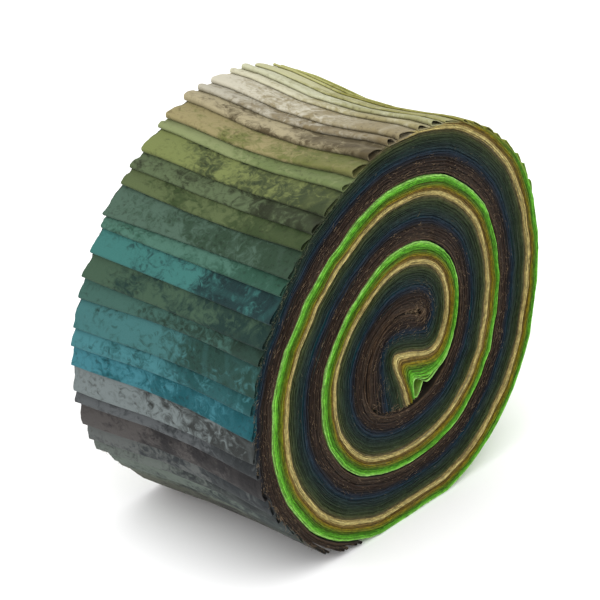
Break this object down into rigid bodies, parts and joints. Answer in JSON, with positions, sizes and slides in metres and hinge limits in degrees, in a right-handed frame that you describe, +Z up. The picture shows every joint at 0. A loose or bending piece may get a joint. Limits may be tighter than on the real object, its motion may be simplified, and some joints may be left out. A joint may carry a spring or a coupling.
{
  "type": "roll of precut quilting fabric strips",
  "caption": "Pre-cut cotton strips, each folded once, stacked and wound together into a round roll that stands on its rim, with loose strip ends underneath.",
  "frame": {"origin": "on the floor under the middle of the roll's bounding box", "axes": "+Z up, the roll's axis along Y, the face seen in the picture towards -Y, the loose strip ends under the -X side"},
  "size_m": [0.1232, 0.0654, 0.1175],
  "materials": {
    "wound_strips": "matt hand-dyed cotton in a run from lime and cream through greens and teals to browns",
    "last_strips": "matt hand-dyed cotton, grey brown"
  },
  "bodies": {
    "root": {"roll": "wound_strips", "loose_end_1": "last_strips", "loose_end_2": "last_strips", "loose_end_3": "last_strips"}
  },
  "joints": []
}
